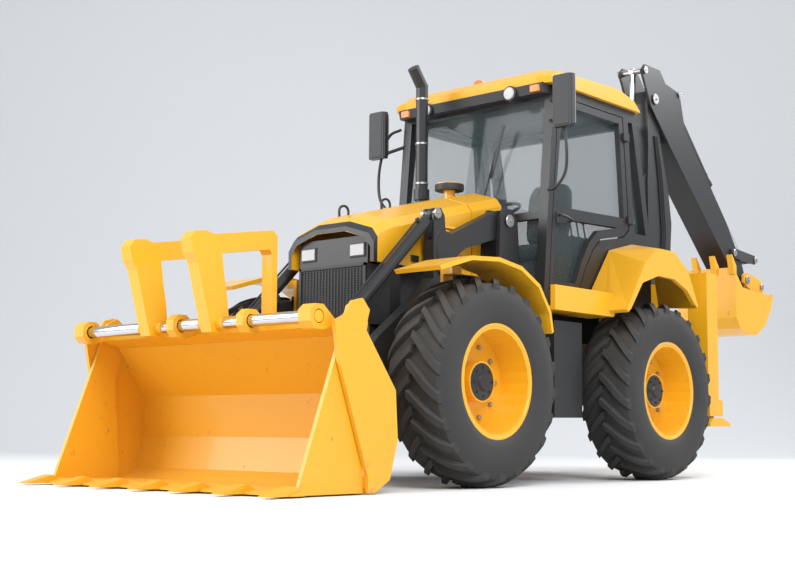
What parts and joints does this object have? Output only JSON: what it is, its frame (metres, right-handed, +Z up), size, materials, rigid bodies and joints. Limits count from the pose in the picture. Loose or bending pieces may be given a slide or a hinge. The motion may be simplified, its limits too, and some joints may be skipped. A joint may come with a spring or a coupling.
{
  "type": "backhoe loader",
  "caption": "Wheeled tractor with a cab, a clamshell loader bucket with folding forks in front, and a side-shift digging arm with stabiliser legs behind.",
  "frame": {"origin": "on the ground under the middle of the machine's bounding box", "axes": "+X forward, towards the loader bucket; +Y to the driver's left; +Z up"},
  "size_m": [7.936, 2.38, 3.7994],
  "materials": {
    "yellow_paint": "glossy yellow paint",
    "black_paint": "satin black paint",
    "castings": "dark painted castings",
    "chrome_rod": "polished cylinder rods",
    "tyre": "matt black tread rubber",
    "glass": "lightly tinted safety glass",
    "seat_cloth": "dark woven cloth"
  },
  "bodies": {
    "machine": {"chassis": "black_paint", "front_axle": "castings", "rear_axle": "castings", "engine": "castings", "exhaust": "black_paint", "grille": "black_paint", "rear_cowl": "yellow_paint", "cab_frame": "black_paint", "cab_roof": "yellow_paint", "windscreen": "glass", "rear_glass": "glass", "seat": "seat_cloth", "rear_fender_left": "yellow_paint", "rear_fender_right": "yellow_paint", "rear_frame": "yellow_paint"},
    "hood": {"hood": "yellow_paint"},
    "door_left": {"door_left": "black_paint", "door_left_glass": "glass"},
    "knuckle_front_left": {"knuckle_front_left": "castings", "front_fender_left": "yellow_paint"},
    "wheel_front_left": {"rim_front_left": "yellow_paint", "tyre_front_left": "tyre"},
    "knuckle_rear_left": {"knuckle_rear_left": "castings"},
    "wheel_rear_left": {"rim_rear_left": "yellow_paint", "tyre_rear_left": "tyre"},
    "leg_left": {"leg_left": "yellow_paint"},
    "door_right": {"door_right": "black_paint", "door_right_glass": "glass"},
    "knuckle_front_right": {"knuckle_front_right": "castings", "front_fender_right": "yellow_paint"},
    "wheel_front_right": {"rim_front_right": "yellow_paint", "tyre_front_right": "tyre"},
    "knuckle_rear_right": {"knuckle_rear_right": "castings"},
    "wheel_rear_right": {"rim_rear_right": "yellow_paint", "tyre_rear_right": "tyre"},
    "leg_right": {"leg_right": "yellow_paint"},
    "loader_arms": {"loader_arms": "black_paint"},
    "bucket": {"bucket": "yellow_paint"},
    "clam": {"clam": "yellow_paint"},
    "forks": {"forks": "yellow_paint"},
    "lift_barrels": {"lift_barrel_left": "black_paint", "lift_barrel_right": "black_paint"},
    "lift_rods": {"lift_rod_left": "chrome_rod", "lift_rod_right": "chrome_rod"},
    "tilt_barrels": {"tilt_barrel_left": "black_paint", "tilt_barrel_right": "black_paint"},
    "tilt_rods": {"tilt_rod_left": "chrome_rod", "tilt_rod_right": "chrome_rod"},
    "carriage": {"carriage": "castings"},
    "kingpost": {"kingpost": "castings"},
    "boom": {"boom": "black_paint"},
    "dipper": {"dipper": "black_paint"},
    "hoe_bucket": {"hoe_bucket": "yellow_paint"},
    "bucket_link": {"bucket_link": "castings"},
    "boom_barrel": {"boom_barrel": "black_paint"},
    "boom_rod": {"boom_rod": "chrome_rod"},
    "dipper_barrel": {"dipper_barrel": "black_paint"},
    "dipper_rod": {"dipper_rod": "chrome_rod"},
    "hoe_barrel": {"hoe_barrel": "black_paint"},
    "hoe_rod": {"hoe_rod": "chrome_rod"}
  },
  "joints": [
    {"name": "hood_hinge", "type": "hinge", "parent": "machine", "child": "hood", "pos_m": [1.268, 0, 2.122], "axis": [0, -1, 0], "range_deg": [0, 45]},
    {"name": "door_left_hinge", "type": "hinge", "parent": "machine", "child": "door_left", "pos_m": [-0.388, 0.768, 2], "axis": [0.0866, 0, 0.9962], "range_deg": [0, 70]},
    {"name": "door_right_hinge", "type": "hinge", "parent": "machine", "child": "door_right", "pos_m": [-0.388, -0.768, 2], "axis": [-0.0866, 0, -0.9962], "range_deg": [0, 70]},
    {"name": "steer_front_left", "type": "hinge", "parent": "machine", "child": "knuckle_front_left", "pos_m": [1.924, 0.62, 0.69], "axis": [0, 0, 1], "range_deg": [-16, 16]},
    {"name": "spin_front_left", "type": "hinge", "parent": "knuckle_front_left", "child": "wheel_front_left", "pos_m": [1.924, 0.95, 0.69], "axis": [0, 1, 0], "continuous": true},
    {"name": "steer_front_right", "type": "hinge", "parent": "machine", "child": "knuckle_front_right", "pos_m": [1.924, -0.62, 0.69], "axis": [0, 0, 1], "range_deg": [-16, 16]},
    {"name": "spin_front_right", "type": "hinge", "parent": "knuckle_front_right", "child": "wheel_front_right", "pos_m": [1.924, -0.95, 0.69], "axis": [0, 1, 0], "continuous": true},
    {"name": "steer_rear_left", "type": "hinge", "parent": "machine", "child": "knuckle_rear_left", "pos_m": [-0.288, 0.62, 0.69], "axis": [0, 0, 1], "range_deg": [-16, 16]},
    {"name": "spin_rear_left", "type": "hinge", "parent": "knuckle_rear_left", "child": "wheel_rear_left", "pos_m": [-0.288, 0.95, 0.69], "axis": [0, 1, 0], "continuous": true},
    {"name": "steer_rear_right", "type": "hinge", "parent": "machine", "child": "knuckle_rear_right", "pos_m": [-0.288, -0.62, 0.69], "axis": [0, 0, 1], "range_deg": [-16, 16]},
    {"name": "spin_rear_right", "type": "hinge", "parent": "knuckle_rear_right", "child": "wheel_rear_right", "pos_m": [-0.288, -0.95, 0.69], "axis": [0, 1, 0], "continuous": true},
    {"name": "arm_lift", "type": "hinge", "parent": "machine", "child": "loader_arms", "pos_m": [1.042, 0, 1.915], "axis": [0, -1, 0], "range_deg": [0, 77]},
    {"name": "bucket_tilt", "type": "hinge", "parent": "loader_arms", "child": "bucket", "pos_m": [2.842, 0, 0.33], "axis": [0, -1, 0], "range_deg": [-75, 30]},
    {"name": "clam_open", "type": "hinge", "parent": "bucket", "child": "clam", "pos_m": [3.272, 0, 1.06], "axis": [0, -1, 0], "range_deg": [0, 45]},
    {"name": "fork_flip", "type": "hinge", "parent": "bucket", "child": "forks", "pos_m": [3.557, 0, 1.005], "axis": [0, 1, 0], "range_deg": [0, 128]},
    {"name": "lift_ram_swing", "type": "hinge", "parent": "machine", "child": "lift_barrels", "pos_m": [0.832, 0, 0.74], "axis": [0, -1, 0], "range_deg": [-1, 28.7]},
    {"name": "lift_ram_slide", "type": "slide", "parent": "lift_barrels", "child": "lift_rods", "axis": [0.7841, 0, 0.6206], "range_m": [-0.005, 0.76385]},
    {"name": "tilt_ram_swing", "type": "hinge", "parent": "loader_arms", "child": "tilt_barrels", "pos_m": [1.832, 0, 1.875], "axis": [0, -1, 0], "range_deg": [-3.65, 2.06]},
    {"name": "tilt_ram_slide", "type": "slide", "parent": "tilt_barrels", "child": "tilt_rods", "axis": [0.7275, 0, -0.6861], "range_m": [-0.24005, 0.59263]},
    {"name": "side_shift", "type": "slide", "parent": "machine", "child": "carriage", "axis": [0, 1, 0], "range_m": [-0.6, 0.6]},
    {"name": "swing", "type": "hinge", "parent": "carriage", "child": "kingpost", "pos_m": [-1.588, 0, 1.1], "axis": [0, 0, 1], "range_deg": [-85, 85]},
    {"name": "boom_hinge", "type": "hinge", "parent": "kingpost", "child": "boom", "pos_m": [-1.848, 0, 1], "axis": [0, -1, 0], "range_deg": [0, 110]},
    {"name": "dipper_hinge", "type": "hinge", "parent": "boom", "child": "dipper", "pos_m": [-1.888, 0, 3.495], "axis": [0, 1, 0], "range_deg": [0, 90]},
    {"name": "hoe_bucket_hinge", "type": "hinge", "parent": "dipper", "child": "hoe_bucket", "pos_m": [-3.588, 0, 1.93], "axis": [0, 1, 0], "range_deg": [0, 100]},
    {"name": "link_hinge", "type": "hinge", "parent": "dipper", "child": "bucket_link", "pos_m": [-3.388, 0, 2.19], "axis": [0, 1, 0], "range_deg": [-1, 51]},
    {"name": "boom_ram_swing", "type": "hinge", "parent": "kingpost", "child": "boom_barrel", "pos_m": [-1.723, 0, 1.34], "axis": [0, -1, 0], "range_deg": [-1, 117.08]},
    {"name": "boom_ram_slide", "type": "slide", "parent": "boom_barrel", "child": "boom_rod", "axis": [0.0416, 0, 0.9991], "range_m": [-0.005, 0.58125]},
    {"name": "dipper_ram_swing", "type": "hinge", "parent": "boom", "child": "dipper_barrel", "pos_m": [-1.628, 0, 2.6], "axis": [0, -1, 0], "range_deg": [-4.3, 1]},
    {"name": "dipper_ram_slide", "type": "slide", "parent": "dipper_barrel", "child": "dipper_rod", "axis": [-0.0769, 0, 0.997], "range_m": [-0.42625, 0.005]},
    {"name": "hoe_ram_swing", "type": "hinge", "parent": "dipper", "child": "hoe_barrel", "pos_m": [-2.356, 0, 3.636], "axis": [0, -1, 0], "range_deg": [-6.2, 1]},
    {"name": "hoe_ram_slide", "type": "slide", "parent": "hoe_barrel", "child": "hoe_rod", "axis": [-0.7109, 0, -0.7033], "range_m": [-0.35362, 0.005]},
    {"name": "leg_left_slide", "type": "slide", "parent": "machine", "child": "leg_left", "axis": [0, 0, -1], "range_m": [0, 0.45]},
    {"name": "leg_right_slide", "type": "slide", "parent": "machine", "child": "leg_right", "axis": [0, 0, -1], "range_m": [0, 0.45]}
  ],
  "couplings": [
    {"joint": "steer_front_right", "follows": "steer_front_left", "ratio": 1},
    {"joint": "steer_rear_right", "follows": "steer_rear_left", "ratio": 1},
    {"joint": "lift_ram_swing", "follows": "arm_lift", "ratio": 0.35981},
    {"joint": "lift_ram_slide", "follows": "arm_lift", "m_per_rad": 0.56466},
    {"joint": "tilt_ram_swing", "follows": "bucket_tilt", "ratio": 0.035273},
    {"joint": "tilt_ram_slide", "follows": "bucket_tilt", "m_per_rad": -0.44892},
    {"joint": "link_hinge", "follows": "hoe_bucket_hinge", "ratio": 0.5},
    {"joint": "boom_ram_swing", "follows": "boom_hinge", "ratio": 1.0553},
    {"joint": "boom_ram_slide", "follows": "boom_hinge", "m_per_rad": 0.30015},
    {"joint": "dipper_ram_swing", "follows": "dipper_hinge", "ratio": -0.036677},
    {"joint": "dipper_ram_slide", "follows": "dipper_hinge", "m_per_rad": -0.26818},
    {"joint": "hoe_ram_swing", "follows": "hoe_bucket_hinge", "ratio": -0.052037},
    {"joint": "hoe_ram_slide", "follows": "hoe_bucket_hinge", "m_per_rad": -0.19975}
  ]
}
